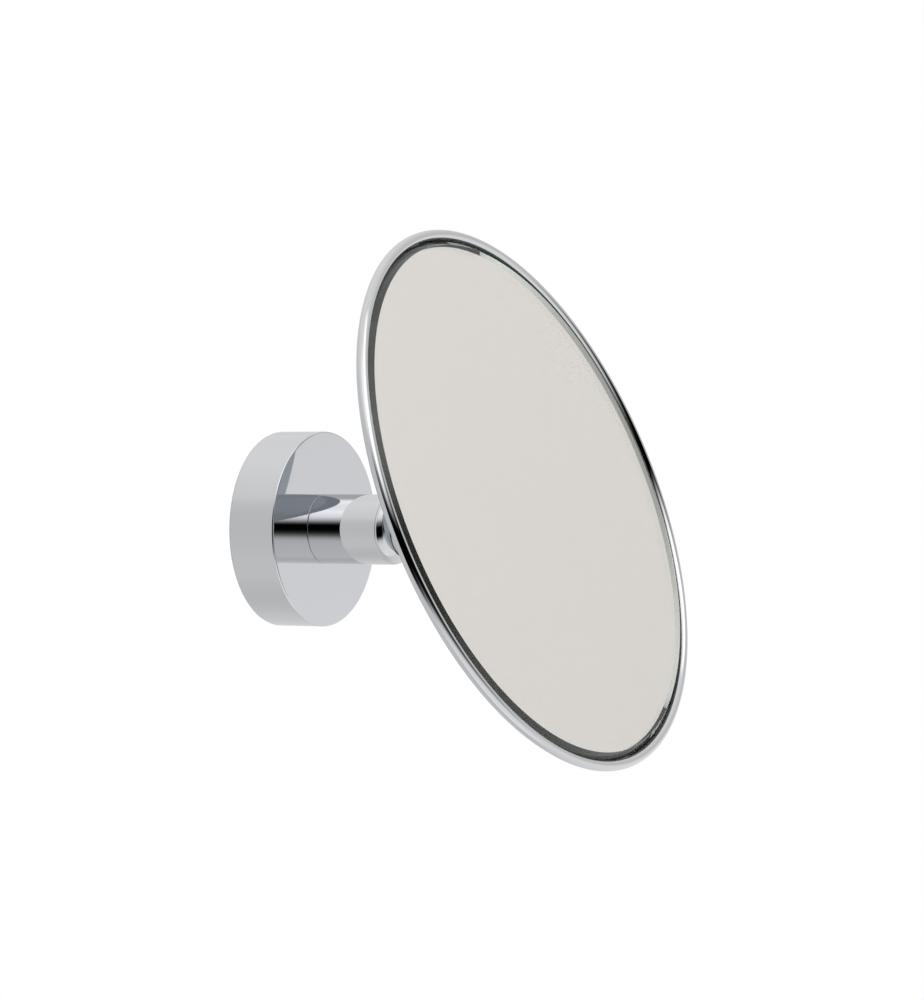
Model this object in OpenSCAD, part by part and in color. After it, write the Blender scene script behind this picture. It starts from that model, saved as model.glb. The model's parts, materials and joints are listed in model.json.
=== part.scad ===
// Extendable shaving mirror.
// A round mirror head swings on a ball joint at the end of a short telescopic arm,
// and the arm stands on a round wall rose that hides its wall bracket.
// Millimetres. Origin: centre of the wall face. +Z is up, and the arm points along -Y.
// "s" is a distance from the wall along the arm, and "u" one from the ball's centre
// along the mirror's own axis, positive towards the glass.

/* [Mirror head] */
// Outside diameter of the mirror, over its rim
mirror_d = 200; // [150:1:260]
// Outside diameter of the rolled rim's section
rim_d = 3.7; // [3:0.1:5]
// Sheet thickness of the rolled rim
rim_wall = 0.5; // [0.3:0.05:0.6]
// Depth of the flat on the back of the rim, where it is brazed to the shell
rim_foot = 0.1; // [0.1:0.05:0.3]
// Thickness of the glass
glass_t = 3; // [2:0.1:4]
// Gap between the edge of the glass and the rim
glass_gap = 0.1; // [0.05:0.05:0.3]
// Width of the polished bevel round the front of the glass, as far as the glass is thick enough
glass_bevel = 2.4; // [0.5:0.1:3]
// Chamfer round the back of the glass
glass_chamfer = 0.3; // [0.1:0.05:0.5]
// Thickness of the silvering with its lacquer
silver_t = 0.15; // [0.1:0.05:0.3]
// Thickness of the packing ring between mirror and back shell
packing_t = 0.35; // [0.2:0.05:0.6]
// Width of the packing ring
packing_w = 4; // [2:0.5:10]
// Sheet thickness of the back shell
shell_t = 0.5; // [0.4:0.05:0.6]
// Depth of the back shell's dish
shell_depth = 10; // [9.4:0.1:16]
// Width of the back shell's flat flange
shell_flange_w = 6.8; // [3:0.1:8]
// Radius of the flat middle of the back shell
shell_flat_r = 30; // [29:1:40]
// Thickness of the foam behind the mirror
foam_t = 3; // [1:0.1:4]
// Inner radius of the foam ring
foam_in_r = 33; // [31:1:50]
// Outer radius of the foam ring
foam_out_r = 66; // [52:1:72]

/* [Hub] */
// Diameter of the hub boss on the back shell
hub_d = 34; // [31:1:50]
// Thickness of the hub boss
hub_t = 7; // [6:0.5:8]
// Rounding of the hub boss's edge
hub_round = 2; // [0.5:0.5:3]
// Radius of the steel plate inside the shell
plate_r = 27; // [18:1:28]
// Thickness of that plate
plate_t = 1.5; // [1:0.1:2]
// Radius of the circle of hub screws
hub_screw_circle_r = 12; // [11:0.5:13]
// Number of hub screws
hub_screw_n = 3; // [2:1:6]
// Diameter of a hub screw
hub_screw_d = 3; // [2:0.5:3]
// Length of a hub screw in the boss
hub_screw_bite = 4.5; // [3:0.5:5]

/* [Ball joint] */
// Distance from the ball's centre to the middle plane of the rim
ball_to_rim = 34; // [32:0.5:60]
// Upward tilt of the mirror as it is stored
tilt_rest = 20; // [0:1:30]
// Thickness of the ball's nylon liner
liner_t = 1.2; // [0.8:0.1:1.6]
// Diameter of the stud's neck
neck_d = 5.5; // [4:0.1:6]
// Largest swing of the stud from the arm's line, in degrees
swing = 44; // [42:1:46]
// Largest swing of the stud inside the liner, in degrees
liner_swing = 34; // [31:1:36]
// Diameter of the stud's threaded end
shank_d = 6; // [5:0.5:8]
// Radius of the stud's flange
flange_r = 6.5; // [5:0.5:8]
// Thickness of the stud's flange
flange_t = 2; // [1.5:0.5:3]
// Width across flats of the stud nut
stud_nut_af = 10; // [10:1:13]
// Height of the stud nut
stud_nut_t = 5; // [3:0.5:5]
// Radius of the stud's washer
stud_washer_r = 6.2; // [6:0.1:7]
// Thickness of the stud's washer
stud_washer_t = 0.8; // [0.5:0.1:1]
// Length of the ball's spring-loaded seat
seat_len = 6; // [5:0.5:8]
// Thickness of one disc spring
disc_t = 0.5; // [0.3:0.1:0.7]
// Height of one disc spring as fitted
disc_h = 0.9; // [0.8:0.1:1.4]
// Number of disc springs
disc_n = 4; // [2:1:6]
// Length of the plug that loads the springs
plug_len = 5; // [4:0.5:8]
// Width across flats of the plug's key socket
plug_key_af = 8; // [5:1:8]

/* [Telescopic arm] */
// Outside diameter of the fixed sleeve
sleeve_d = 25; // [24:0.5:32]
// Length of the sleeve in front of the rose
sleeve_reach = 28; // [28:0.5:60]
// Outside diameter of the sliding tube
tube_d = 18.6; // [15.5:0.1:19]
// Wall of the sliding tube
tube_wall = 1; // [0.8:0.1:1.2]
// Room between sliding tube and sleeve, where the bushes sit
bush_room = 1; // [0.8:0.1:1.2]
// How far the arm pulls out
travel = 25; // [10:0.5:26]
// Distance from the rose's face to the ball's centre with the arm pushed in
ball_reach = 51.7; // [50:0.1:90]
// Length of the end collar's rounded nose
collar_nose = 4.9; // [3:0.1:5]
// Radius of the rounding of that nose
collar_round = 5.5; // [5.1:0.1:6]
// Length of the end collar's thread in the sleeve
collar_thread = 3; // [2:0.5:5]
// Chamfer on both sides of the seam between sleeve and collar
seam = 0.15; // [0.05:0.05:0.3]
// Length of the bush on the tail of the sliding tube
tail_bush_len = 6; // [4:0.5:8]
// Width of the key that stops the tube from turning
key_w = 3; // [2:0.5:4]
// Height of that key above the bush
key_h = 0.5; // [0.3:0.1:0.6]
// Section diameter of the friction ring
ring_d = 0.9; // [0.7:0.1:1]
// Rounding of the sliding tube's front edge
tube_round = 2.6; // [2:0.1:3]

/* [Rose and bracket] */
// Diameter of the rose
rose_d = 70; // [68:1:100]
// Depth of the rose, wall to face
rose_depth = 18.5; // [18:0.5:40]
// Wall of the rose
rose_wall = 2; // [1:0.1:3]
// Rounding of the rose's front edge
rose_round = 0.6; // [0.2:0.1:1.5]
// Thickness of the wall gasket
gasket_t = 0.5; // [0.3:0.1:1]
// Outside diameter of the sleeve's threaded spigot
spigot_d = 23; // [22.6:0.1:24]
// Thickness of the bracket's base
base_t = 2.5; // [2:0.1:4]
// Height of the bracket's ring, from the wall
ring_h = 10; // [9:0.5:14]
// Thickness of the bracket's ring
ring_t = 2.2; // [1.5:0.1:3]
// Diameter of the circle of wall screws
screw_circle_d = 48; // [46:1:52]
// Number of wall screws
screw_n = 3; // [2:1:6]
// Diameter of a wall screw's hole
screw_hole_d = 4.5; // [3:0.1:6]
// Width across flats of the sleeve nut
sleeve_nut_af = 30; // [28:1:32]
// Height of the sleeve nut
sleeve_nut_t = 4; // [3:0.5:6]
// Thickness of the sleeve washer
sleeve_washer_t = 1; // [0.5:0.1:1.5]
// Diameter of the grub screw
grub_d = 4; // [3:0.5:5]
// Height of the grub screw's axis above the wall
grub_s = 6; // [5:0.5:7]

/* [Fits] */
// Radial clearance of parts that slide or turn on each other
run_fit = 0.05; // [0.02:0.01:0.1]
// Radial clearance of parts that are screwed or pushed together
still_fit = 0.05; // [0.02:0.01:0.1]
// Radial clearance between the sliding tube and the end collar
collar_gap = 0.2; // [0.1:0.05:0.4]
// Clearance between the rose and its bracket
rose_gap = 0.3; // [0.1:0.1:0.6]
// Clearance of the stud's neck at full swing
neck_gap = 0.2; // [0.1:0.05:0.4]

/* [Hidden] */
$fn = 120;
arc_fn = 720; // for the shell's very large radius
eps = 0.01;
lip_t = 0.6; // of the lips behind the circlip and behind the tail bush
tail_room = 2.1; // between the bracket's base and the tail bush
tail_cut = 0.3; // depth of the tail bush's seat in the sliding tube
tail_lip = 0.2; // how far the swaged lip stands proud of the tube
clip_gap = 0.2; // between that lip and the circlip
clip_depth = 0.5; // of the circlip's groove
key_gap = 0.1; // above the tail bush's key
seat_gap = 5; // from the ball's centre back to the front of its seat
seat_bore_r = 3;
thread_end = 0.5; // of the stud past its nut

// Along the arm, from the wall
sleeve_end_s = rose_depth + sleeve_reach;
ball_s = rose_depth + ball_reach;
rose_face_in_s = rose_depth - rose_wall;
washer_s = rose_face_in_s - sleeve_washer_t;
sleeve_nut_s = washer_s - sleeve_nut_t;
clip_t = 0.7;
clip_groove_t = clip_t + 0.1;
stop_s = base_t + tail_room; // where the tail bush stops when the arm is pushed in
sleeve_tail_s = stop_s - clip_groove_t - lip_t;
tube_tail_s = stop_s - lip_t;
tail_bush_end_s = stop_s + tail_bush_len;
front_bush_s = tail_bush_end_s + travel; // the tail bush stops here, pulled out
ring_room = ring_d + 0.2;
front_bush_end_s = sleeve_end_s - collar_thread - ring_room;
friction_ring_s = sleeve_end_s - collar_thread - ring_room / 2;

// Across the arm
tube_r = tube_d / 2;
tube_bore_r = tube_r - tube_wall;
sleeve_bore_r = tube_r + bush_room;
tail_neck_r = tube_r - tail_cut;
tail_lip_r = tube_r + tail_lip;
clip_in_r = tail_lip_r + clip_gap;
clip_groove_r = sleeve_bore_r + clip_depth;
key_groove_r = sleeve_bore_r + key_h + key_gap;
spigot_r = spigot_d / 2;
collar_bore_r = tube_r + collar_gap;

// Ball joint
socket_r = tube_bore_r;
liner_out_r = socket_r - run_fit;
liner_in_r = liner_out_r - liner_t;
ball_r = liner_in_r - run_fit;
neck_r = neck_d / 2;
shank_r = shank_d / 2;
tube_nose = socket_r * 0.5; // how far the tube reaches past the ball's centre
liner_back = 4.5; // how far the liner reaches behind the ball's centre
seat_front_s = ball_s - seat_gap;
seat_back_s = seat_front_s - seat_len;
disc_back_s = seat_back_s - disc_n * disc_h;
plug_s = disc_back_s - plug_len;

// Mirror head, across its axis
rim_r = rim_d / 2;
rim_mid_r = mirror_d / 2 - rim_r;
glass_r = rim_mid_r - rim_r - glass_gap;
silver_r = glass_r - glass_chamfer;
shell_r = rim_mid_r + rim_r / 4;
dish_r = shell_r - shell_flange_w;

// Mirror head, along its axis
packing_back_u = ball_to_rim - rim_r + rim_foot; // and the front of the shell's flange
silver_back_u = packing_back_u + packing_t;
glass_back_u = silver_back_u + silver_t;
glass_front_u = glass_back_u + glass_t;
flange_back_u = packing_back_u - shell_t;
shell_back_u = flange_back_u - shell_depth;
shell_in_u = shell_back_u + shell_t;
hub_back_u = shell_back_u - hub_t;
plate_front_u = shell_in_u + plate_t;
flange_front_u = hub_back_u - run_fit;
stud_washer_u = plate_front_u + run_fit;
stud_nut_u = stud_washer_u + stud_washer_t;
stud_end_u = stud_nut_u + stud_nut_t + thread_end;
// The dish's arc passes through (dish_r, 0) and (shell_flat_r, -shell_depth)
dish_rise = (dish_r ^ 2 - shell_flat_r ^ 2 - shell_depth ^ 2) / (2 * shell_depth);
dish_arc_r = sqrt(dish_r ^ 2 + dish_rise ^ 2);

chrome = "gainsboro";
satin = "lightgray";
steel = "silver";
nylon = "whitesmoke";
rubber = "dimgray";

// Local +Z runs from the wall along the arm, and local +Y is up
module on_arm(s = 0) {
    translate([0, -s, 0]) rotate([90, 0, 0]) children();
}

// Local +Z runs from the ball's centre along the mirror's axis
module on_head(u = 0) {
    translate([0, -ball_s, 0]) rotate([90 - tilt_rest, 0, 0]) translate([0, 0, u]) children();
}

module tube(out_r, in_r, h) {
    difference() {
        cylinder(r = out_r, h = h);
        translate([0, 0, -1]) cylinder(r = in_r, h = h + 2);
    }
}

module hex_prism(af, h) {
    cylinder(r = af / 2 / cos(30), h = h, $fn = 6);
}

// A half section between two radii and two heights
module band(in_r, out_r, low, high) {
    translate([in_r, low]) square([out_r - in_r, high - low]);
}

// A half section from the axis out to r, with its outer front corner rounded
module round_front_band(r, low, high, round_r) {
    difference() {
        band(0, r, low, high);
        band(r - round_r, r + 1, high - round_r, high + 1);
    }
    intersection() {
        translate([r - round_r, high - round_r]) circle(r = round_r);
        band(0, r, low, high);
    }
}

// A half section of the space that the neck sweeps at the given swing
module swept_neck(angle) {
    start_r = neck_r / cos(angle) + neck_gap;
    reach = 2 * socket_r;
    polygon([[0, 0], [start_r, 0], [start_r + reach * tan(angle), reach], [0, reach]]);
}

module wall_bracket() {
    base_r = rose_d / 2 - rose_wall - rose_gap;
    hole_r = spigot_r + 1;
    color(steel) on_arm() difference() {
        union() {
            tube(base_r, hole_r, base_t);
            tube(base_r, base_r - ring_t, ring_h);
        }
        for (i = [0:screw_n - 1])
            rotate([0, 0, 90 + i * 360 / screw_n]) translate([screw_circle_d / 2, 0, -1])
                cylinder(d = screw_hole_d, h = base_t + 2);
        translate([0, -base_r + ring_t + 1, grub_s]) rotate([90, 0, 0])
            cylinder(r = grub_d / 2 + still_fit, h = ring_t + 2);
    }
}

module wall_gasket() {
    in_r = rose_d / 2 - rose_wall;
    color(rubber) on_arm() tube(in_r + rose_wall * 0.9, in_r, gasket_t);
}

module rose_cover() {
    out_r = rose_d / 2;
    in_r = out_r - rose_wall;
    color(chrome) on_arm() difference() {
        rotate_extrude() difference() {
            round_front_band(out_r, gasket_t, rose_depth, rose_round);
            band(-1, in_r, gasket_t - 1, rose_face_in_s);
            band(-1, spigot_r + still_fit, 0, rose_depth + 1);
        }
        translate([0, -in_r + 1, grub_s]) rotate([90, 0, 0])
            cylinder(r = grub_d / 2 + still_fit, h = rose_wall + 2);
    }
}

module grub_screw() {
    out_r = rose_d / 2 - 0.3;
    in_r = rose_d / 2 - rose_wall - rose_gap - ring_t;
    key_depth = 2;
    color(steel) on_arm() translate([0, -in_r, grub_s]) rotate([90, 0, 0]) difference() {
        cylinder(d = grub_d, h = out_r - in_r);
        translate([0, 0, out_r - in_r - key_depth]) hex_prism(grub_d / 2, key_depth + 1);
    }
}

module arm_sleeve() {
    color(chrome) on_arm() difference() {
        rotate_extrude() difference() {
            union() {
                band(0, spigot_r, sleeve_tail_s, rose_depth + eps);
                band(0, sleeve_d / 2, rose_depth, sleeve_end_s);
            }
            band(-1, sleeve_bore_r, sleeve_tail_s - 1, sleeve_end_s + 1);
            band(-1, clip_groove_r, stop_s - clip_groove_t, stop_s);
            translate([sleeve_d / 2, sleeve_end_s]) rotate(45)
                square(seam * sqrt(2), center = true);
        }
        translate([-key_w / 2 - still_fit, 0, sleeve_tail_s - 1])
            cube([key_w + 2 * still_fit, key_groove_r, front_bush_s - sleeve_tail_s + 1]);
    }
}

module sleeve_washer() {
    washer_r = sleeve_nut_af / 2 + 1;
    color(steel) on_arm(washer_s) tube(washer_r, spigot_r + still_fit, sleeve_washer_t);
}

module sleeve_nut() {
    color("darkkhaki") on_arm(sleeve_nut_s) difference() {
        hex_prism(sleeve_nut_af, sleeve_nut_t);
        translate([0, 0, -1]) cylinder(r = spigot_r + still_fit, h = sleeve_nut_t + 2);
    }
}

module rear_circlip() {
    gap = 6;
    color(steel) on_arm(stop_s - clip_t) difference() {
        tube(clip_groove_r - still_fit, clip_in_r, clip_t);
        translate([-gap / 2, 0, -1]) cube([gap, sleeve_d, clip_t + 2]);
    }
}

module front_bush() {
    color(nylon) on_arm(front_bush_s)
        tube(sleeve_bore_r - still_fit, tube_r + run_fit, front_bush_end_s - front_bush_s);
}

module friction_ring() {
    color(rubber) on_arm(friction_ring_s) rotate_extrude()
        translate([tube_r + bush_room / 2, 0]) circle(d = ring_d, $fn = 48);
}

module end_collar() {
    mid_r = sleeve_d / 2 - collar_round;
    color(chrome) on_arm(sleeve_end_s) rotate_extrude() difference() {
        union() {
            intersection() {
                union() {
                    translate([mid_r, 0]) circle(r = collar_round, $fn = 180);
                    band(0, mid_r, 0, collar_nose);
                }
                band(0, sleeve_d / 2, 0, collar_nose);
            }
            band(0, sleeve_bore_r - still_fit, -collar_thread, eps);
        }
        band(-1, collar_bore_r, -collar_thread - 1, collar_nose + 1);
        translate([sleeve_d / 2, 0]) rotate(45) square(seam * sqrt(2), center = true);
    }
}

module slide_tube() {
    color(chrome) on_arm() difference() {
        rotate_extrude() difference() {
            round_front_band(tube_r, tube_tail_s, ball_s + tube_nose, tube_round);
            band(tail_neck_r, tube_r + 1, stop_s, tail_bush_end_s);
            band(-1, tube_bore_r, tube_tail_s - 1, ball_s);
            intersection() {
                translate([0, ball_s]) circle(r = socket_r, $fn = 240);
                band(-1, socket_r, ball_s - socket_r, ball_s + socket_r);
            }
            translate([0, ball_s]) swept_neck(swing);
        }
        translate([-key_w / 2, 0, tube_tail_s - 1])
            cube([key_w, tube_r + 1, tail_bush_end_s - tube_tail_s + 1]);
    }
    // The lip behind the bush is swaged outwards once the bush is on
    color(chrome) on_arm(tube_tail_s) difference() {
        tube(tail_lip_r, tail_neck_r - eps, stop_s - tube_tail_s);
        translate([-key_w / 2, 0, -1]) cube([key_w, tube_r + 1, 3]);
    }
}

module tail_bush() {
    bush_key_w = key_w - 2 * still_fit;
    out_r = sleeve_bore_r - run_fit;
    color(nylon) on_arm(stop_s) {
        tube(out_r, tail_neck_r + still_fit, tail_bush_len);
        intersection() {
            translate([-bush_key_w / 2, tube_bore_r, 0])
                cube([bush_key_w, key_groove_r - tube_bore_r, tail_bush_len]);
            tube(sleeve_bore_r + key_h, tube_bore_r + still_fit, tail_bush_len);
        }
    }
}

module ball_seat() {
    color(nylon) on_arm() rotate_extrude() difference() {
        band(seat_bore_r, tube_bore_r - still_fit, seat_back_s, seat_front_s);
        translate([0, ball_s]) circle(r = socket_r, $fn = 240);
    }
}

// Disc springs stacked in pairs, back to back
module disc_springs() {
    in_r = 3.2;
    out_r = tube_bore_r - 0.4;
    rise = disc_h - disc_t;
    color(steel) on_arm(disc_back_s) for (i = [0:disc_n - 1]) {
        in_z = i % 2 == 0 ? rise : 0;
        out_z = rise - in_z;
        translate([0, 0, i * disc_h]) rotate_extrude() polygon([
            [in_r, in_z], [out_r, out_z], [out_r, out_z + disc_t], [in_r, in_z + disc_t]
        ]);
    }
}

module preload_plug() {
    color("darkkhaki") on_arm(plug_s) difference() {
        cylinder(r = tube_bore_r - still_fit, h = plug_len);
        translate([0, 0, -1]) hex_prism(plug_key_af, plug_len - 1);
    }
}

module ball_liner() {
    color(rubber) on_arm(ball_s) rotate_extrude() difference() {
        intersection() {
            circle(r = liner_out_r, $fn = 240);
            band(0, liner_out_r, -liner_back, liner_out_r);
        }
        circle(r = liner_in_r, $fn = 240);
        swept_neck(liner_swing);
    }
}

module ball_stud() {
    color(chrome) on_head() rotate_extrude() {
        intersection() {
            circle(r = ball_r, $fn = 240);
            band(0, ball_r, -ball_r, ball_r);
        }
        band(0, neck_r, 0, flange_front_u - eps);
        band(0, flange_r, flange_front_u - flange_t, flange_front_u);
        band(0, shank_r, flange_front_u - eps, stud_end_u);
    }
}

module stud_washer() {
    color(steel) on_head(stud_washer_u) tube(stud_washer_r, shank_r + still_fit, stud_washer_t);
}

module stud_nut() {
    color(steel) on_head(stud_nut_u) difference() {
        hex_prism(stud_nut_af, stud_nut_t);
        translate([0, 0, -1]) cylinder(r = shank_r + still_fit, h = stud_nut_t + 2);
    }
}

// Children at each hub screw's place
module at_hub_screws() {
    for (i = [0:hub_screw_n - 1])
        rotate([0, 0, 90 + i * 360 / hub_screw_n]) translate([hub_screw_circle_r, 0, 0])
            children();
}

module hub_screw_holes(bottom_u, top_u) {
    at_hub_screws() translate([0, 0, bottom_u])
        cylinder(r = hub_screw_d / 2 + still_fit, h = top_u - bottom_u);
}

module hub_boss() {
    color(chrome) on_head() difference() {
        rotate_extrude() difference() {
            translate([0, 2 * shell_back_u - hub_t]) mirror([0, 1])
                round_front_band(hub_d / 2, shell_back_u - hub_t, shell_back_u, hub_round);
            band(-1, shank_r + run_fit, hub_back_u - 1, shell_back_u + 1);
        }
        hub_screw_holes(shell_back_u - hub_screw_bite - 0.5, shell_back_u + 1);
    }
}

module hub_plate() {
    color(steel) on_head() difference() {
        translate([0, 0, shell_in_u]) tube(plate_r, shank_r + run_fit, plate_t);
        hub_screw_holes(shell_in_u - 1, plate_front_u + 1);
    }
}

module hub_screws() {
    head_r = hub_screw_d * 0.9;
    head_t = hub_screw_d * 0.55;
    key_af = hub_screw_d * 0.6;
    color(steel) on_head() at_hub_screws() difference() {
        union() {
            translate([0, 0, shell_back_u - hub_screw_bite])
                cylinder(d = hub_screw_d, h = plate_front_u - shell_back_u + hub_screw_bite + eps);
            translate([0, 0, plate_front_u]) cylinder(r = head_r, h = head_t);
        }
        translate([0, 0, plate_front_u + head_t / 3]) hex_prism(key_af, head_t);
    }
}

// Half section of the dish, filled up to its flange's back, and grown by "more"
module dish_section(more) {
    intersection() {
        translate([0, flange_back_u + dish_rise]) circle(r = dish_arc_r + more, $fn = arc_fn);
        band(0, shell_r, shell_back_u - more, flange_back_u);
    }
}

module back_shell() {
    color(satin) on_head() difference() {
        rotate_extrude() difference() {
            union() {
                band(0, shell_r, flange_back_u, packing_back_u);
                dish_section(0);
            }
            dish_section(-shell_t);
            band(-1, dish_r - shell_t, flange_back_u - eps, packing_back_u + 1);
            band(-1, shank_r + run_fit, shell_back_u - 1, packing_back_u);
        }
        hub_screw_holes(shell_back_u - 1, shell_in_u + 1);
    }
}

module foam_pad() {
    color("slategray") on_head(silver_back_u - foam_t) tube(foam_out_r, foam_in_r, foam_t);
}

module packing_ring() {
    color(rubber) on_head(packing_back_u)
        tube(silver_r, silver_r - packing_w, packing_t);
}

module mirror_silver() {
    color("white") on_head(silver_back_u) cylinder(r = silver_r, h = silver_t);
}

module mirror_glass() {
    bevel = min(glass_bevel, glass_t - 2 * glass_chamfer);
    color("azure") on_head() rotate_extrude() polygon([
        [0, glass_back_u], [silver_r, glass_back_u], [glass_r, glass_back_u + glass_chamfer],
        [glass_r, glass_front_u - bevel], [glass_r - bevel, glass_front_u], [0, glass_front_u]
    ]);
}

// A bead of rolled sheet, whose open seam lies under the edge of the glass
module rim_ring() {
    seam_r = rim_mid_r - rim_r / 6;
    seam_u = packing_back_u + rim_wall + rim_foot;
    color(chrome) on_head() rotate_extrude() difference() {
        translate([rim_mid_r, ball_to_rim]) circle(r = rim_r, $fn = 96);
        translate([rim_mid_r, ball_to_rim]) circle(r = rim_r - rim_wall, $fn = 96);
        band(rim_mid_r - rim_d, rim_mid_r + rim_d, flange_back_u - rim_r, packing_back_u);
        band(rim_mid_r - rim_d, seam_r, flange_back_u, seam_u);
    }
}

wall_bracket();
wall_gasket();
rose_cover();
grub_screw();
arm_sleeve();
sleeve_washer();
sleeve_nut();
rear_circlip();
front_bush();
friction_ring();
end_collar();
slide_tube();
tail_bush();
ball_seat();
disc_springs();
preload_plug();
ball_liner();
ball_stud();
stud_washer();
stud_nut();
hub_boss();
hub_plate();
hub_screws();
back_shell();
foam_pad();
packing_ring();
mirror_silver();
mirror_glass();
rim_ring();
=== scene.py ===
import json
import math
from collections import namedtuple

import bpy
import numpy as np
from mathutils import Matrix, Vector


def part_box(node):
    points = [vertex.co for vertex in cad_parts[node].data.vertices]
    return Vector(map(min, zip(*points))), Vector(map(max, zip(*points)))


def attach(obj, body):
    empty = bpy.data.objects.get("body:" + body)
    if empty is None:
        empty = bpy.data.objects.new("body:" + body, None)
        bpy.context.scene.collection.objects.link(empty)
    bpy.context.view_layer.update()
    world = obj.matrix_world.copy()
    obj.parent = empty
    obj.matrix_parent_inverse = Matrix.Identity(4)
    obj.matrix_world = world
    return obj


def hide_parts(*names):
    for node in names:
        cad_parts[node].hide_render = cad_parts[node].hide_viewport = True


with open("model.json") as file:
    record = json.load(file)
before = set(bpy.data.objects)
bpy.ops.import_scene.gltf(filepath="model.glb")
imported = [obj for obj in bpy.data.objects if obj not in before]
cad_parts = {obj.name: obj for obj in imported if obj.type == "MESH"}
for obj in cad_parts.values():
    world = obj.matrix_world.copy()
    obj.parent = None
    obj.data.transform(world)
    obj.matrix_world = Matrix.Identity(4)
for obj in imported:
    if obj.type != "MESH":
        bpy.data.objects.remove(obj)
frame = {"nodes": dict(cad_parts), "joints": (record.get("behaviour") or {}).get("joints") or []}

bl_info = {
    "name": "Extendable Shaving Mirror",
    "version": (1, 0, 0),
    "blender": (4, 5, 0),
    "location": "3D View > Sidebar > Mirror",
    "description": "Chrome shaving mirror on a telescopic arm, built around its packed frame",
    "category": "Add Mesh",
}

# ---------------------------------------------------------------- frame

# A line with two directions across it: turned shapes stand on its origin, along its axis.
Line = namedtuple("Line", "origin axis side up")
# How far a node reaches along a line, and its smallest and largest distance from it.
Reach = namedtuple("Reach", "low high inner outer")

ORIGIN = np.zeros(3)
EAST = np.array([1.0, 0.0, 0.0])
TOP = np.array([0.0, 0.0, 1.0])


def joint(name):
    """The frame's joint of that name."""
    return next(j for j in frame["joints"] if j["name"] == name)


def reach(node, line):
    """A node's reach: its points' distances along the line, and across it by Pythagoras."""
    mesh = frame["nodes"][node].data
    points = np.empty(len(mesh.vertices) * 3)
    mesh.vertices.foreach_get("co", points)
    points = points.reshape(-1, 3) - line.origin
    along = points @ line.axis
    across = np.linalg.norm(points - along[:, None] * line.axis, axis=1)
    return Reach(along.min(), along.max(), across.min(), across.max())


BALL = np.array(joint("mirror_spin")["pos_m"], float)
SPIN = np.array(joint("mirror_spin")["axis"], float)
ARM = Line(ORIGIN, np.array(joint("arm_extend")["axis"], float), EAST, TOP)
HEAD = Line(BALL, SPIN, EAST, np.cross(SPIN, EAST))
BALL_ALONG = float(BALL @ ARM.axis)

ROSE = reach("rose_cover", ARM)
SLEEVE = reach("arm_sleeve", ARM)
COLLAR = reach("end_collar", ARM)
TUBE = reach("slide_tube", ARM)
TAIL_BUSH = reach("tail_bush", ARM)
FRONT_BUSH = reach("front_bush", ARM)
CLIP = reach("rear_circlip", ARM)
LINER = reach("ball_liner", Line(BALL, ARM.axis, EAST, TOP))
STUD = reach("ball_stud", HEAD)
HUB = reach("hub_boss", HEAD)
SHELL = reach("back_shell", HEAD)
RIM = reach("rim_ring", HEAD)
GLASS = reach("mirror_glass", HEAD)
SILVER = reach("mirror_silver", HEAD)

# Room on each side of pieces that fit into each other.
FIT = 0.00005
SPIGOT_R = ROSE.inner - FIT
TUBE_R = FRONT_BUSH.inner - FIT
TAIL_LIP = 0.0005
TAIL_LIP_R = TUBE.outer
TAIL_NECK_R = TUBE.outer - TAIL_LIP
# Where the sliding tube's rounded nose would end if it had no mouth: half the socket's radius in
# front of the ball's centre.
NOSE_ALONG = BALL_ALONG + 0.5 * (LINER.outer + FIT)

# ---------------------------------------------------------------- settings


def length(label, text, value):
    """A length property in metres."""
    return bpy.props.FloatProperty(
        name=label, description=text, default=value, min=0, precision=5, unit="LENGTH")


def angle(label, text, degrees):
    """An angle property, given in degrees."""
    return bpy.props.FloatProperty(
        name=label, description=text, default=math.radians(degrees), subtype="ANGLE", unit="ROTATION")


def colour(label, text, value):
    """A colour property."""
    return bpy.props.FloatVectorProperty(
        name=label, description=text, default=value, size=3, min=0, max=1, subtype="COLOR")


class RoseSizes(bpy.types.PropertyGroup):
    """Sizes of the wall rose"""
    wall: length("Wall", "Thickness of the rose's wall and face", 0.002)
    front_round: length("Front edge", "Rounding of the rose's front edge", 0.0006)
    foot_round: length("Foot edge", "Rounding of the rose's edge at the wall", 0.00005)
    shoulder: length("Shoulder", "Rounding of the sleeve where it stands on the rose", 0.0003)


class ArmSizes(bpy.types.PropertyGroup):
    """Sizes of the arm and of the liner in its end"""
    seam: length("Seam", "Rounding on both sides of the seam between sleeve and collar", 0.00015)
    collar_round: length("Collar nose", "Radius of the end collar's domed nose", 0.0055)
    lip: length("Lip", "Rounding of the collar's opening", 0.0003)
    tube_wall: length("Tube wall", "Wall of the sliding tube", 0.001)
    tube_round: length("Tube nose", "Rounding of the sliding tube's front edge", 0.0026)
    tube_swing: angle("Swing", "Swing of the neck that the tube's mouth leaves room for", 44)
    liner_swing: angle("Liner swing", "Swing of the neck that the liner leaves room for", 34)
    neck_gap: length("Neck gap", "Room round the neck at full swing", 0.0002)
    liner_wall: length("Liner wall", "Thickness of the ball's liner", 0.0012)


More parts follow.
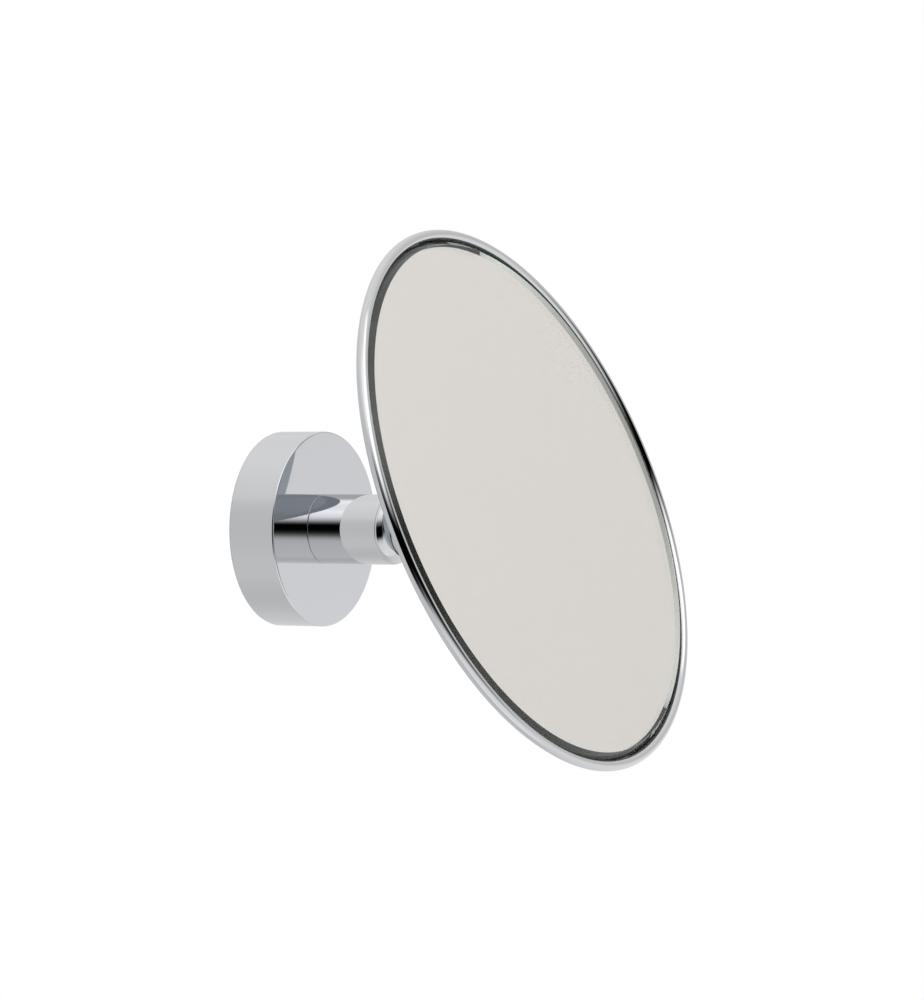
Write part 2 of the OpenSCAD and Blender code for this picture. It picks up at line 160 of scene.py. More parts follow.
class HeadSizes(bpy.types.PropertyGroup):
    """Sizes of the mirror head and its ball stud"""
    neck: length("Neck", "Radius of the stud's neck", 0.00275)
    ball: length("Ball", "Radius of the stud's ball", 0.007)
    flange: length("Flange", "Radius of the stud's flange", 0.0065)
    flange_height: length("Flange height", "Thickness of the stud's flange", 0.002)
    hub_round: length("Hub edge", "Rounding of the hub's back edge", 0.002)
    shell_sheet: length("Shell sheet", "Sheet thickness of the back shell", 0.0005)
    shell_flat: length("Shell flat", "Radius of the back shell's flat middle", 0.030)
    shell_flange: length("Shell flange", "Width of the back shell's flange", 0.0068)
    rim_sheet: length("Rim sheet", "Sheet thickness of the rolled rim", 0.0005)
    glass_bevel: length("Glass bevel", "Width of the polished bevel round the front of the glass", 0.0024)
    glass_arris: length("Glass arris", "Rounding of the bevel's two edges", 0.00012)
    glass_chamfer: length("Glass edge", "Rounding of the back edge of the glass", 0.0003)


class Finishes(bpy.types.PropertyGroup):
    """Colours of the finishes"""
    chrome: colour("Chrome", "Colour of the chrome plate", (0.600, 0.606, 0.622))
    satin: colour("Shell", "Colour of the pressed back shell", (0.505, 0.550, 0.600))
    zinc: colour("Zinc", "Colour of the zinc-plated bracket", (0.560, 0.570, 0.590))
    steel: colour("Steel", "Colour of screws, washers and springs", (0.520, 0.520, 0.510))
    brass: colour("Brass", "Colour of the turned brass", (0.700, 0.520, 0.240))
    nylon: colour("Nylon", "Colour of the natural nylon", (0.780, 0.760, 0.700))
    liner: colour("Liner", "Colour of the ball's liner", (0.030, 0.030, 0.033))
    rubber: colour("Rubber", "Colour of the rubber rings", (0.035, 0.035, 0.036))
    silicone: colour("Silicone", "Colour of the pale silicone gasket at the wall", (0.60, 0.61, 0.62))
    foam: colour("Foam", "Colour of the foam pad", (0.110, 0.120, 0.130))
    silver: colour("Silvering", "Colour of the silver coat", (0.945, 0.906, 0.896))
    glass_tint: colour("Glass tint", "Colour that thick glass lets through", (0.42, 0.86, 0.66))
    bevel_tint: colour("Bevel tint", "Faint green of the glass's polished bevel", (0.72, 0.84, 0.77))
    ground_edge: colour("Ground edge", "Colour of the ground edge of the glass", (0.32, 0.50, 0.40))


class StageLook(bpy.types.PropertyGroup):
    """The floor, the backdrop and where the camera stands"""
    backdrop: colour("Backdrop", "Colour seen behind the mirror", (1.0, 1.0, 1.0))
    floor: colour("Floor", "Colour of the pale floor", (0.86, 0.86, 0.86))
    floor_drop: length("Floor drop", "Distance from the arm down to the floor", 1.0)
    floor_radius: length("Floor radius", "Radius of the floor", 4.0)
    distance: length("Distance", "Distance from the camera to the mirror's centre", 1.4)
    heading: angle("Heading", "Camera's direction, turned from straight in front", -59.94)
    pitch: angle("Pitch", "How far the camera stands above the mirror's level", -0.046)
    roll: angle("Roll", "Camera's turn about its own line of sight", 0.47)
    lens: bpy.props.FloatProperty(
        name="Lens", description="Focal length", default=144.65, subtype="DISTANCE_CAMERA")
    shift: bpy.props.FloatVectorProperty(
        name="Shift", description="Shift of the camera's frame", default=(0.0020, 0.0229), size=2)
    aside: bpy.props.FloatVectorProperty(
        name="Aside",
        description="How far the camera stands to the right of the mirror's centre and above it",
        default=(-0.02434, -0.00887), size=2, precision=5, unit="LENGTH")


# ---------------------------------------------------------------- half sections

# A half section is an array of rows (radius, height, outward normal's two parts). It runs
# anticlockwise round the material, so that outward is on the right of the way it goes.

CORNER_STEPS = 6
ARC_STEPS = 24
RIM_STEPS = 72
# Roundings of the edges that no setting names.
CRISP, EDGE, SOFT, ROUND, WIDE = 0.00005, 0.0001, 0.0002, 0.0003, 0.0005


def rows(points, normals):
    """Points and their normals side by side."""
    return np.hstack([np.atleast_2d(points), np.atleast_2d(normals)])


def arc(centre, radius, start, end, facing=1, steps=ARC_STEPS):
    """Points at even angles (radians) round a centre: centre + radius (cos, sin). Normals point
    away from the centre, or to it where facing is -1."""
    turn = np.linspace(start, end, steps + 1)
    normal = np.stack([np.cos(turn), np.sin(turn)], axis=1)
    return rows(np.asarray(centre) + radius * normal, facing * normal)


def unit(vector):
    """The vector at length one."""
    return vector / np.linalg.norm(vector)


def heading_of(vector):
    """The angle of a plane vector, in radians."""
    return math.atan2(vector[1], vector[0])


def corner(before, here, after, radius, steps=CORNER_STEPS):
    """The fillet of a corner: a circle whose centre lies on the corner's bisector, radius / sin(half
    the angle) away, touching both sides radius / tan(half the angle) from the corner."""
    before, here, after = (np.array(p[:2], float) for p in (before, here, after))
    back, ahead = unit(before - here), unit(after - here)
    bisector = unit(back + ahead)
    half = math.acos(float(np.clip(back @ bisector, -1, 1)))
    centre = here + bisector * radius / math.sin(half)
    start = heading_of(here + back * radius / math.tan(half) - centre)
    end = heading_of(here + ahead * radius / math.tan(half) - centre)
    sweep = (end - start + math.pi) % (2 * math.pi) - math.pi
    outward = np.array([-back[1], back[0]])
    facing = 1 if outward @ [math.cos(start), math.sin(start)] > 0 else -1
    return arc(centre, radius, start, start + sweep, facing, steps)


def corners(points, closed=True):
    """Fillets of a row of (radius, height, rounding) corners, joined by straight stretches. An open
    row's first and last points only give the direction."""
    count = len(points)
    middle = range(count) if closed else range(1, count - 1)
    return np.vstack([
        corner(points[i - 1], points[i], points[(i + 1) % count], points[i][2]) for i in middle])


def pole(height, up):
    """The point of a half section on the axis, facing up (1) or down (-1)."""
    return rows([0.0, height], [0.0, up])


def meet(point, direction, centre, radius):
    """Where a line leaves a circle: the farther root of |point + t direction - centre| = radius."""
    offset = np.subtract(point, centre)
    along = offset @ direction
    far = -along + math.sqrt(along * along - offset @ offset + radius * radius)
    return np.asarray(point) + far * np.asarray(direction)


# ---------------------------------------------------------------- meshes

TURN_SEGMENTS = 256
HEAD_SEGMENTS = 360
FLOOR_SEGMENTS = 128
CUTTER_SEGMENTS = 64
SHARP_ANGLE = math.radians(40)


def new_mesh(name, points, faces, normals):
    """An object at the origin from points, faces and exact normals. Faces that look against their
    points' normals are turned over."""
    mesh = bpy.data.meshes.new(name)
    tops = normals[faces[:, 0]]
    looks = np.cross(points[faces[:, 1]] - points[faces[:, 0]], points[faces[:, 2]] - points[faces[:, 0]])
    if np.sum(looks * tops) < 0:
        faces = faces[:, ::-1]
    repeated = faces == np.roll(faces, 1, axis=1)
    whole = ~repeated.any(axis=1)
    thirds = faces[~whole][~repeated[~whole]].reshape(-1, 3)
    used, renumbered = np.unique(np.concatenate([faces[whole].ravel(), thirds.ravel()]), return_inverse=True)
    quads = renumbered[:whole.sum() * 4].reshape(-1, 4).tolist()
    triangles = renumbered[whole.sum() * 4:].reshape(-1, 3).tolist()
    mesh.from_pydata(points[used].tolist(), [], quads + triangles)
    mesh.shade_smooth()
    mesh.normals_split_custom_set_from_vertices(normals[used].tolist())
    mesh.validate()
    piece = bpy.data.objects.new(name, mesh)
    bpy.context.scene.collection.objects.link(piece)
    return piece


def turned(name, section, line, closed=True, segments=TURN_SEGMENTS):
    """A half section turned round a line: point = origin + r (side cos t + up sin t) + h axis. Rows on
    the axis shrink to one point, which closes the pole."""
    turn = np.arange(segments) * 2 * math.pi / segments
    spoke = np.cos(turn)[:, None] * line.side + np.sin(turn)[:, None] * line.up
    points = line.origin + section[:, None, :1] * spoke + section[:, None, 1:2] * line.axis
    normals = section[:, None, 2:3] * spoke + section[:, None, 3:4] * line.axis
    count = len(section)
    grid = np.arange(count * segments).reshape(count, segments)
    on_axis = section[:, 0] < 1e-9
    grid[on_axis] = grid[on_axis, :1]
    rows_low = grid if closed else grid[:-1]
    rows_high = np.roll(grid, -1, axis=0) if closed else grid[1:]
    faces = np.stack([
        rows_low, np.roll(rows_low, -1, axis=1), np.roll(rows_high, -1, axis=1), rows_high], axis=-1)
    return new_mesh(name, points.reshape(-1, 3), faces.reshape(-1, 4), normals.reshape(-1, 3))


def bored(piece, line, radius, low, high):
    """Bores a round hole through a piece, along a line between two heights, with a turned cutter."""
    cutter = turned(
        "cutter", disc_section(low, high, radius, 0.00001), line, closed=False, segments=CUTTER_SEGMENTS)
    cut = piece.modifiers.new("Hole", "BOOLEAN")
    cut.object = cutter
    cut.operation = "DIFFERENCE"
    cut.solver = "EXACT"
    view = bpy.context.evaluated_depsgraph_get()
    mesh = bpy.data.meshes.new_from_object(piece.evaluated_get(view))
    piece.modifiers.clear()
    old = piece.data
    piece.data = mesh
    mesh.name = old.name
    bpy.data.objects.remove(cutter)
    mesh.set_sharp_from_angle(angle=SHARP_ANGLE)
    weights = piece.modifiers.new("Even shading", "WEIGHTED_NORMAL")
    weights.keep_sharp = True


def settle(piece, body, material, slot, *nodes):
    """Gives a piece its finish and body, and lets it stand for its nodes. Its slot is not used."""
    piece.data.materials.append(material)
    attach(piece, body)
    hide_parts(*nodes)


# ---------------------------------------------------------------- finishes


def add(tree, kind, inputs=None, **settings):
    """A node with its settings, and its inputs filled with values or linked to sockets."""
    node = tree.nodes.new(kind)
    for name, value in settings.items():
        setattr(node, name, value)
    for name, value in (inputs or {}).items():
        if isinstance(value, bpy.types.NodeSocket):
            tree.links.new(value, node.inputs[name])
        else:
            node.inputs[name].default_value = value
    return node


def reckon(tree, operation, first, second=0.0, third=0.0):
    """The result of a math node's operation on one, two or three values."""
    return add(tree, "ShaderNodeMath", {0: first, 1: second, 2: third}, operation=operation).outputs[0]


def new_group(name, inputs, outputs):
    """A shader node group. Its inputs are numbers with defaults, or vectors where the default is None,
    and its outputs are numbers."""
    tree = bpy.data.node_groups.new(name, "ShaderNodeTree")
    for label, default in inputs:
        kind = "NodeSocketVector" if default is None else "NodeSocketFloat"
        socket = tree.interface.new_socket(label, in_out="INPUT", socket_type=kind)
        if default is not None:
            socket.default_value = default
    for label in outputs:
        tree.interface.new_socket(label, in_out="OUTPUT", socket_type="NodeSocketFloat")
    return tree, tree.nodes.new("NodeGroupInput").outputs, tree.nodes.new("NodeGroupOutput").inputs


def handling_group():
    """Handling marks: a slow cloud of finger haze and a fine speckle, both between 0 and 1, mixed into
    a roughness between Clean and Hazed."""
    tree, given, out = new_group(
        "Handling marks", [("Place", None), ("Clean", 0.02), ("Hazed", 0.08), ("Size", 40.0)], ["Roughness"])
    cloud = add(tree, "ShaderNodeTexNoise", {
        "Vector": given["Place"], "Scale": given["Size"], "Detail": 4.0, "Roughness": 0.6, "Distortion": 0.6})
    smear = add(tree, "ShaderNodeMapRange", {
        "Value": cloud.outputs["Fac"], "From Min": 0.48, "From Max": 0.78}, interpolation_type="SMOOTHSTEP")
    speckle = add(tree, "ShaderNodeTexNoise", {
        "Vector": given["Place"], "Scale": reckon(tree, "MULTIPLY", given["Size"], 30.0), "Detail": 2.0})
    broken = reckon(tree, "MULTIPLY", smear.outputs["Result"], speckle.outputs["Fac"])
    spread = reckon(tree, "SUBTRACT", given["Hazed"], given["Clean"])
    tree.links.new(reckon(tree, "MULTIPLY_ADD", broken, spread, given["Clean"]), out["Roughness"])
    return tree


def hairline_group():
    """Hairline scratches: the thin lines where a long, narrow noise passes through its middle value,
    in three directions, as a Height that dips along each line and a Mask that is 1 on it."""
    tree, given, out = new_group(
        "Hairline scratches", [("Place", None), ("Scale", 60.0), ("Width", 0.012)], ["Height", "Mask"])
    lines = None
    for number, turn in enumerate([(0.3, 0.7, 0.2), (1.4, 0.2, 0.9), (0.8, 1.6, 2.1)]):
        turned_place = add(tree, "ShaderNodeMapping", {
            "Vector": given["Place"], "Rotation": turn, "Scale": (1.0, 0.12, 1.0)})
        noise = add(tree, "ShaderNodeTexNoise", {
            "Vector": turned_place.outputs["Vector"], "Detail": 1.0,
            "Scale": reckon(tree, "MULTIPLY", given["Scale"], 1.0 + 0.7 * number)})
        off = reckon(tree, "ABSOLUTE", reckon(tree, "SUBTRACT", noise.outputs["Fac"], 0.5))
        line = add(tree, "ShaderNodeMapRange", {
            "Value": off, "From Min": 0.0, "From Max": given["Width"], "To Min": 1.0, "To Max": 0.0})
        gate = add(tree, "ShaderNodeTexNoise", {
            "Vector": given["Place"], "Detail": 0.0,
            "Scale": reckon(tree, "MULTIPLY", given["Scale"], 0.6 + number)})
        kept = add(tree, "ShaderNodeMapRange", {
            "Value": gate.outputs["Fac"], "From Min": 0.56, "From Max": 0.66})
        shown = reckon(tree, "MULTIPLY", line.outputs["Result"], kept.outputs["Result"])
        lines = shown if lines is None else reckon(tree, "MAXIMUM", lines, shown)
    tree.links.new(lines, out["Mask"])
    tree.links.new(reckon(tree, "SUBTRACT", 1.0, lines), out["Height"])
    return tree


def grain_group():
    """Surface grain: a coarse and a fine noise averaged into a Height, and the coarse one as a Tone."""
    tree, given, out = new_group(
        "Surface grain", [("Place", None), ("Scale", 800.0)], ["Height", "Tone"])
    coarse = add(tree, "ShaderNodeTexNoise", {
        "Vector": given["Place"], "Scale": given["Scale"], "Detail": 5.0})
    fine = add(tree, "ShaderNodeTexNoise", {
        "Vector": given["Place"], "Scale": reckon(tree, "MULTIPLY", given["Scale"], 3.7), "Detail": 3.0})
    both = reckon(tree, "ADD", coarse.outputs["Fac"], fine.outputs["Fac"])
    tree.links.new(reckon(tree, "MULTIPLY", both, 0.5), out["Height"])
    tree.links.new(coarse.outputs["Fac"], out["Tone"])
    return tree


def dust_group():
    """Dust and grime: a cloud that gathers where surfaces face up, as a Mask between 0 and Amount."""
    tree, given, out = new_group("Dust", [("Place", None), ("Amount", 0.2), ("Size", 90.0)], ["Mask"])
    cloud = add(tree, "ShaderNodeTexNoise", {
        "Vector": given["Place"], "Scale": given["Size"], "Detail": 8.0, "Roughness": 0.7})
    patch = add(tree, "ShaderNodeMapRange", {
        "Value": cloud.outputs["Fac"], "From Min": 0.45, "From Max": 0.8})
    normal = add(tree, "ShaderNodeNewGeometry").outputs["Normal"]
    facing = add(tree, "ShaderNodeSeparateXYZ", {"Vector": normal})
    settled = add(tree, "ShaderNodeMapRange", {
        "Value": facing.outputs["Z"], "From Min": -1.0, "From Max": 1.0, "To Min": 0.4, "To Max": 1.0})
    mask = reckon(tree, "MULTIPLY", patch.outputs["Result"], settled.outputs["Result"])
    tree.links.new(reckon(tree, "MULTIPLY", mask, given["Amount"]), out["Mask"])
    return tree


GROUP_MAKERS = {
    "Handling marks": handling_group,
    "Hairline scratches": hairline_group,
    "Surface grain": grain_group,
    "Dust": dust_group,
}


def use_group(tree, name, **inputs):
    """Places a shared effect in a material, on Object coordinates, and gives its outputs."""
    group = bpy.data.node_groups.get(name) or GROUP_MAKERS[name]()
    place = add(tree, "ShaderNodeTexCoord").outputs["Object"]
    node = add(tree, "ShaderNodeGroup", node_tree=group)
    tree.links.new(place, node.inputs["Place"])
    for label, value in inputs.items():
        node.inputs[label].default_value = value
    return node.outputs


def new_material(name, tint, metallic, roughness):
    """A new material, its node tree and its Principled shader's inputs."""
    material = bpy.data.materials.new(name)
    material.use_nodes = True
    shader = material.node_tree.nodes["Principled BSDF"]
    shader.inputs["Base Color"].default_value = (*tint, 1.0)
    shader.inputs["Metallic"].default_value = metallic
    shader.inputs["Roughness"].default_value = roughness
    return material, material.node_tree, shader.inputs


def tone(tree, factor, dark, light):
    """A colour that runs from dark to light with a factor."""
    mix = add(tree, "ShaderNodeMix", data_type="RGBA")
    tree.links.new(factor, mix.inputs["Factor"])
    mix.inputs["A"].default_value = (*dark, 1.0)
    mix.inputs["B"].default_value = (*light, 1.0)
    return mix.outputs["Result"]


def shade(tint, factor):
    """The colour times a factor, at most 1."""
    return tuple(min(1.0, part * factor) for part in tint)


def bump(tree, shader, height, strength, depth):
    """Feeds a height into the shader's normal."""
    node = add(tree, "ShaderNodeBump", {"Height": height, "Strength": strength, "Distance": depth})
    tree.links.new(node.outputs["Normal"], shader["Normal"])


def chrome():
    """Bright chrome plate: a blue-grey metal, with finger haze in its gloss and hairline scratches."""
    tint = bpy.context.scene.mirror_finishes.chrome
    material, tree, shader = new_material("Chrome plate", tint, 1.0, 0.012)
    marks = use_group(tree, "Handling marks", Clean=0.012, Hazed=0.07, Size=55.0)
    scratches = use_group(tree, "Hairline scratches", Scale=70.0, Width=0.006)
    rough = reckon(tree, "MULTIPLY_ADD", scratches["Mask"], 0.05, marks["Roughness"])
    tree.links.new(rough, shader["Roughness"])
    dust = use_group(tree, "Dust", Amount=0.10, Size=160.0)
    tree.links.new(tone(tree, dust["Mask"], tint, shade(tint, 0.9)), shader["Base Color"])
    bump(tree, shader, scratches["Height"], 0.05, 0.00002)
    return material


def pressed_shell():
    """The back shell's finish: plated over the press grain, so its gloss is a little softer."""
    tint = bpy.context.scene.mirror_finishes.satin
    material, tree, shader = new_material("Pressed shell", tint, 1.0, 0.1)
    marks = use_group(tree, "Handling marks", Clean=0.03, Hazed=0.09, Size=30.0)
    grain = use_group(tree, "Surface grain", Scale=500.0)
    tree.links.new(marks["Roughness"], shader["Roughness"])
    tree.links.new(tone(tree, grain["Tone"], shade(tint, 0.97), shade(tint, 1.03)), shader["Base Color"])
    bump(tree, shader, grain["Height"], 0.08, 0.00002)
    return material


def metal(name, tint, roughness, grain_scale, grain_depth):
    """A plain working metal: mottled tone, grain, scratches and a little grime."""
    material, tree, shader = new_material(name, tint, 1.0, roughness)
    grain = use_group(tree, "Surface grain", Scale=grain_scale)
    marks = use_group(tree, "Handling marks", Clean=roughness, Hazed=roughness + 0.25, Size=60.0)
    scratches = use_group(tree, "Hairline scratches", Scale=110.0, Width=0.02)
    dust = use_group(tree, "Dust", Amount=0.6, Size=120.0)
    mottled = tone(tree, grain["Tone"], shade(tint, 0.86), shade(tint, 1.1))
    grimy = add(tree, "ShaderNodeMix", {"Factor": dust["Mask"]}, data_type="RGBA")
    tree.links.new(mottled, grimy.inputs["A"])
    grimy.inputs["B"].default_value = (*shade(tint, 0.45), 1.0)
    tree.links.new(grimy.outputs["Result"], shader["Base Color"])
    rough = reckon(tree, "MULTIPLY_ADD", scratches["Mask"], 0.15, marks["Roughness"])
    tree.links.new(rough, shader["Roughness"])
    relief = reckon(tree, "MULTIPLY", grain["Height"], scratches["Height"])
    bump(tree, shader, relief, 0.3, grain_depth)
    return material


def plastic(name, tint, roughness, grain_scale, grain_depth):
    """Moulded plastic or rubber: a fine moulded grain, a slight change of tone and settled dust."""
    material, tree, shader = new_material(name, tint, 0.0, roughness)
    grain = use_group(tree, "Surface grain", Scale=grain_scale)
    marks = use_group(tree, "Handling marks", Clean=roughness, Hazed=roughness + 0.15, Size=70.0)
    dust = use_group(tree, "Dust", Amount=0.25, Size=200.0)
    mottled = tone(tree, grain["Tone"], shade(tint, 0.9), shade(tint, 1.12))
    dusty = add(tree, "ShaderNodeMix", {"Factor": dust["Mask"]}, data_type="RGBA")
    tree.links.new(mottled, dusty.inputs["A"])
    dusty.inputs["B"].default_value = (0.45, 0.44, 0.42, 1.0)
    tree.links.new(dusty.outputs["Result"], shader["Base Color"])
    tree.links.new(marks["Roughness"], shader["Roughness"])
    bump(tree, shader, grain["Height"], 0.35, grain_depth)
    return material


def silver_coat():
    """The silver coat behind the glass: near-perfect mirror, with a trace of cloud in its tone."""
    tint = bpy.context.scene.mirror_finishes.silver
    material, tree, shader = new_material("Silver coat", tint, 1.0, 0.0)
    grain = use_group(tree, "Surface grain", Scale=12.0)
    tree.links.new(tone(tree, grain["Tone"], shade(tint, 0.992), shade(tint, 1.0)), shader["Base Color"])
    return material


GLASS_IOR = 1.52
GLASS_DENSITY = 6.0


def float_glass():
    """Clear float glass: full transmission, a faint green that grows with the way through it, and a
    trace of wiping haze in its gloss."""
    tint = bpy.context.scene.mirror_finishes.glass_tint
    material, tree, shader = new_material("Float glass", (1.0, 1.0, 1.0), 0.0, 0.0)
    shader["Transmission Weight"].default_value = 1.0
    shader["IOR"].default_value = GLASS_IOR
    marks = use_group(tree, "Handling marks", Clean=0.0, Hazed=0.012, Size=14.0)
    tree.links.new(marks["Roughness"], shader["Roughness"])
    absorb = add(tree, "ShaderNodeVolumeAbsorption", {"Color": (*tint, 1.0), "Density": GLASS_DENSITY})
    tree.links.new(absorb.outputs["Volume"], tree.nodes["Material Output"].inputs["Volume"])
    return material


def bevel_glass():
    """The bevel's finish: glass like the rest, with the faint green veil of its polished edge."""
    settings = bpy.context.scene.mirror_finishes
    material, tree, shader = new_material("Bevelled glass", settings.bevel_tint, 0.0, 0.02)
    shader["Transmission Weight"].default_value = 0.94
    shader["IOR"].default_value = GLASS_IOR
    marks = use_group(tree, "Handling marks", Clean=0.01, Hazed=0.05, Size=60.0)
    tree.links.new(marks["Roughness"], shader["Roughness"])
    return material


def ground_glass():
    """The seamed edge of the glass below its bevel: a dull, pale green ground surface."""
    tint = bpy.context.scene.mirror_finishes.ground_edge
    material, tree, shader = new_material("Ground glass edge", tint, 0.0, 0.55)
    grain = use_group(tree, "Surface grain", Scale=1400.0)
    tree.links.new(tone(tree, grain["Tone"], shade(tint, 0.9), shade(tint, 1.1)), shader["Base Color"])
    bump(tree, shader, grain["Height"], 0.3, 0.00003)
    return material


# By slot or node: the maker, then the name, the colour's setting, the roughness, and the scale and
# depth of the grain.
PLAIN_FINISHES = {
    "bracket_steel": (metal, "Zinc plate", "zinc", 0.28, 220.0, 0.00008),
    "screw_steel": (metal, "Stainless steel", "steel", 0.2, 500.0, 0.00004),
    "brass": (metal, "Turned brass", "brass", 0.18, 600.0, 0.00004),
    "nylon": (plastic, "Natural nylon", "nylon", 0.42, 700.0, 0.00005),
    "liner_nylon": (plastic, "Black nylon", "liner", 0.38, 900.0, 0.00004),
    "rubber": (plastic, "Rubber", "rubber", 0.6, 900.0, 0.00006),
    "foam": (plastic, "Closed-cell foam", "foam", 0.9, 1500.0, 0.0003),
    "wall_gasket": (plastic, "Pale silicone", "silicone", 0.45, 900.0, 0.00004),
}
OWN_FINISHES = {
    "chrome": chrome,
    "satin_shell": pressed_shell,
    "silvering": silver_coat,
    "glass": float_glass,
}
# Nodes whose finish differs from the rest of their slot.
ODD_NODES = ["wall_gasket"]
finishes = {}


def finish(name):
    """The finish of a material slot or an odd node, made the first time it is asked for."""
    if name not in finishes and name in OWN_FINISHES:
        finishes[name] = OWN_FINISHES[name]()
    elif name not in finishes:
        maker, label, setting, *numbers = PLAIN_FINISHES[name]
        finishes[name] = maker(label, getattr(bpy.context.scene.mirror_finishes, setting), *numbers)
    return finishes[name]


# ---------------------------------------------------------------- pieces


def rose_section(sizes):
    """The rose: a cup with its face forward, its front edge rounded, and a hole for the spigot."""
    inside, face_back = ROSE.outer - sizes.wall, ROSE.high - sizes.wall
    inside_round = 0.0008
    return corners([
        (inside, ROSE.low, SOFT),
        (ROSE.outer, ROSE.low, sizes.foot_round),
        (ROSE.outer, ROSE.high, sizes.front_round),
        (ROSE.inner, ROSE.high, EDGE),
        (ROSE.inner, face_back, EDGE),
        (inside, face_back, inside_round),
    ])


def sleeve_section(sizes):
    """The sleeve: a narrow spigot behind its shoulder, the round body in front, and a clip groove."""
    groove_r, groove_low = CLIP.outer + FIT, CLIP.low - 2 * FIT
    return corners([
        (SLEEVE.inner, SLEEVE.low, EDGE),
        (SPIGOT_R, SLEEVE.low, ROUND),
        (SPIGOT_R, ROSE.high, EDGE),
        (SLEEVE.outer, ROSE.high, bpy.context.scene.mirror_rose.shoulder),
        (SLEEVE.outer, SLEEVE.high, sizes.seam),
        (SLEEVE.inner, SLEEVE.high, SOFT),
        (SLEEVE.inner, CLIP.high, EDGE),
        (groove_r, CLIP.high, EDGE),
        (groove_r, groove_low, EDGE),
        (SLEEVE.inner, groove_low, EDGE),
    ])


def collar_section(sizes):
    """The end collar: a dome whose arc starts on the sleeve's line and ends in a rounded lip at the
    opening, with a spigot that goes back into the sleeve."""
    outer, seat = COLLAR.outer, SLEEVE.high
    centre = np.array([outer - sizes.collar_round, seat])
    foot_r = sizes.collar_round - sizes.seam
    foot = centre + [math.sqrt(foot_r ** 2 - sizes.seam ** 2), sizes.seam]
    lip_r = sizes.collar_round - sizes.lip
    lip_across = COLLAR.inner + sizes.lip - centre[0]
    lip = centre + [lip_across, math.sqrt(lip_r ** 2 - lip_across ** 2)]
    spigot_r = SLEEVE.inner - FIT
    foot_angle, lip_angle = heading_of(foot - centre), heading_of(lip - centre)
    return np.vstack([
        arc(foot, sizes.seam, -math.pi / 2, foot_angle, steps=CORNER_STEPS),
        arc(centre, sizes.collar_round, foot_angle, lip_angle),
        arc(lip, sizes.lip, lip_angle, math.pi, steps=CORNER_STEPS),
        corners([
            (COLLAR.inner, seat), (COLLAR.inner, COLLAR.low, SOFT), (spigot_r, COLLAR.low, ROUND),
            (spigot_r, seat, EDGE), (outer, seat)], closed=False),
    ])


def mouth(swing, gap, neck):
    """A mouth that leaves room for a neck at full swing: its edge line's start beside the ball's
    centre, its direction, and the way out of the material."""
    start = np.array([neck / math.cos(swing) + gap, 0.0])
    return start, np.array([math.sin(swing), math.cos(swing)]), np.array([-math.cos(swing), math.sin(swing)])


def tube_section(sizes, neck):
    """The sliding tube: a swaged tail behind its bush, a bore, and a round socket for the ball, whose
    mouth is a cone between two small lips."""
    ball = np.array([0.0, BALL_ALONG])
    bore = TUBE_R - sizes.tube_wall
    start, ahead, outward = mouth(sizes.tube_swing, sizes.neck_gap, neck)
    inset = start + ball - EDGE * outward
    shoulder = np.array([TUBE_R - sizes.tube_round, NOSE_ALONG - sizes.tube_round])
    front_lip = meet(inset, ahead, shoulder, sizes.tube_round - EDGE)
    back_lip = meet(inset, ahead, ball, bore + EDGE)
    mouth_angle = heading_of(outward)
    return np.vstack([
        arc(shoulder, sizes.tube_round, 0.0, heading_of(front_lip - shoulder)),
        arc(front_lip, EDGE, heading_of(front_lip - shoulder), mouth_angle, steps=CORNER_STEPS),
        arc(back_lip, EDGE, mouth_angle, heading_of(ball - back_lip) % (2 * math.pi), steps=CORNER_STEPS),
        arc(ball, bore, heading_of(back_lip - ball), 0.0, -1),
        corners([
            (bore, BALL_ALONG), (bore, TUBE.low, EDGE), (TAIL_LIP_R, TUBE.low, SOFT),
            (TAIL_LIP_R, TAIL_BUSH.low, EDGE), (TAIL_NECK_R, TAIL_BUSH.low, CRISP),
            (TAIL_NECK_R, TAIL_BUSH.high, CRISP), (TUBE_R, TAIL_BUSH.high, EDGE),
            (TUBE_R, NOSE_ALONG)], closed=False),
    ])


def liner_section(sizes, neck):
    """The liner: the shell between two spheres, cut flat behind the ball and by its mouth in front."""
    centre = np.zeros(2)
    outer, inner = LINER.outer, LINER.outer - sizes.liner_wall
    start, ahead, outward = mouth(sizes.liner_swing, sizes.neck_gap, neck)
    inset = start - EDGE * outward
    base, across = np.array([0.0, LINER.low + EDGE]), np.array([1.0, 0.0])
    front_out, front_in = (meet(inset, ahead, centre, r) for r in (outer - EDGE, inner + EDGE))
    back_in, back_out = (meet(base, across, centre, r) for r in (inner + EDGE, outer - EDGE))
    mouth_angle = heading_of(outward)
    return np.vstack([
        arc(centre, outer, heading_of(back_out), heading_of(front_out)),
        arc(front_out, EDGE, heading_of(front_out), mouth_angle, steps=CORNER_STEPS),
        arc(front_in, EDGE, mouth_angle, heading_of(-front_in) % (2 * math.pi), steps=CORNER_STEPS),
        arc(centre, inner, heading_of(front_in), heading_of(back_in), -1),
        arc(back_in, EDGE, heading_of(-back_in), 1.5 * math.pi, steps=CORNER_STEPS),
        arc(back_out, EDGE, -math.pi / 2, heading_of(back_out), steps=CORNER_STEPS),
    ])


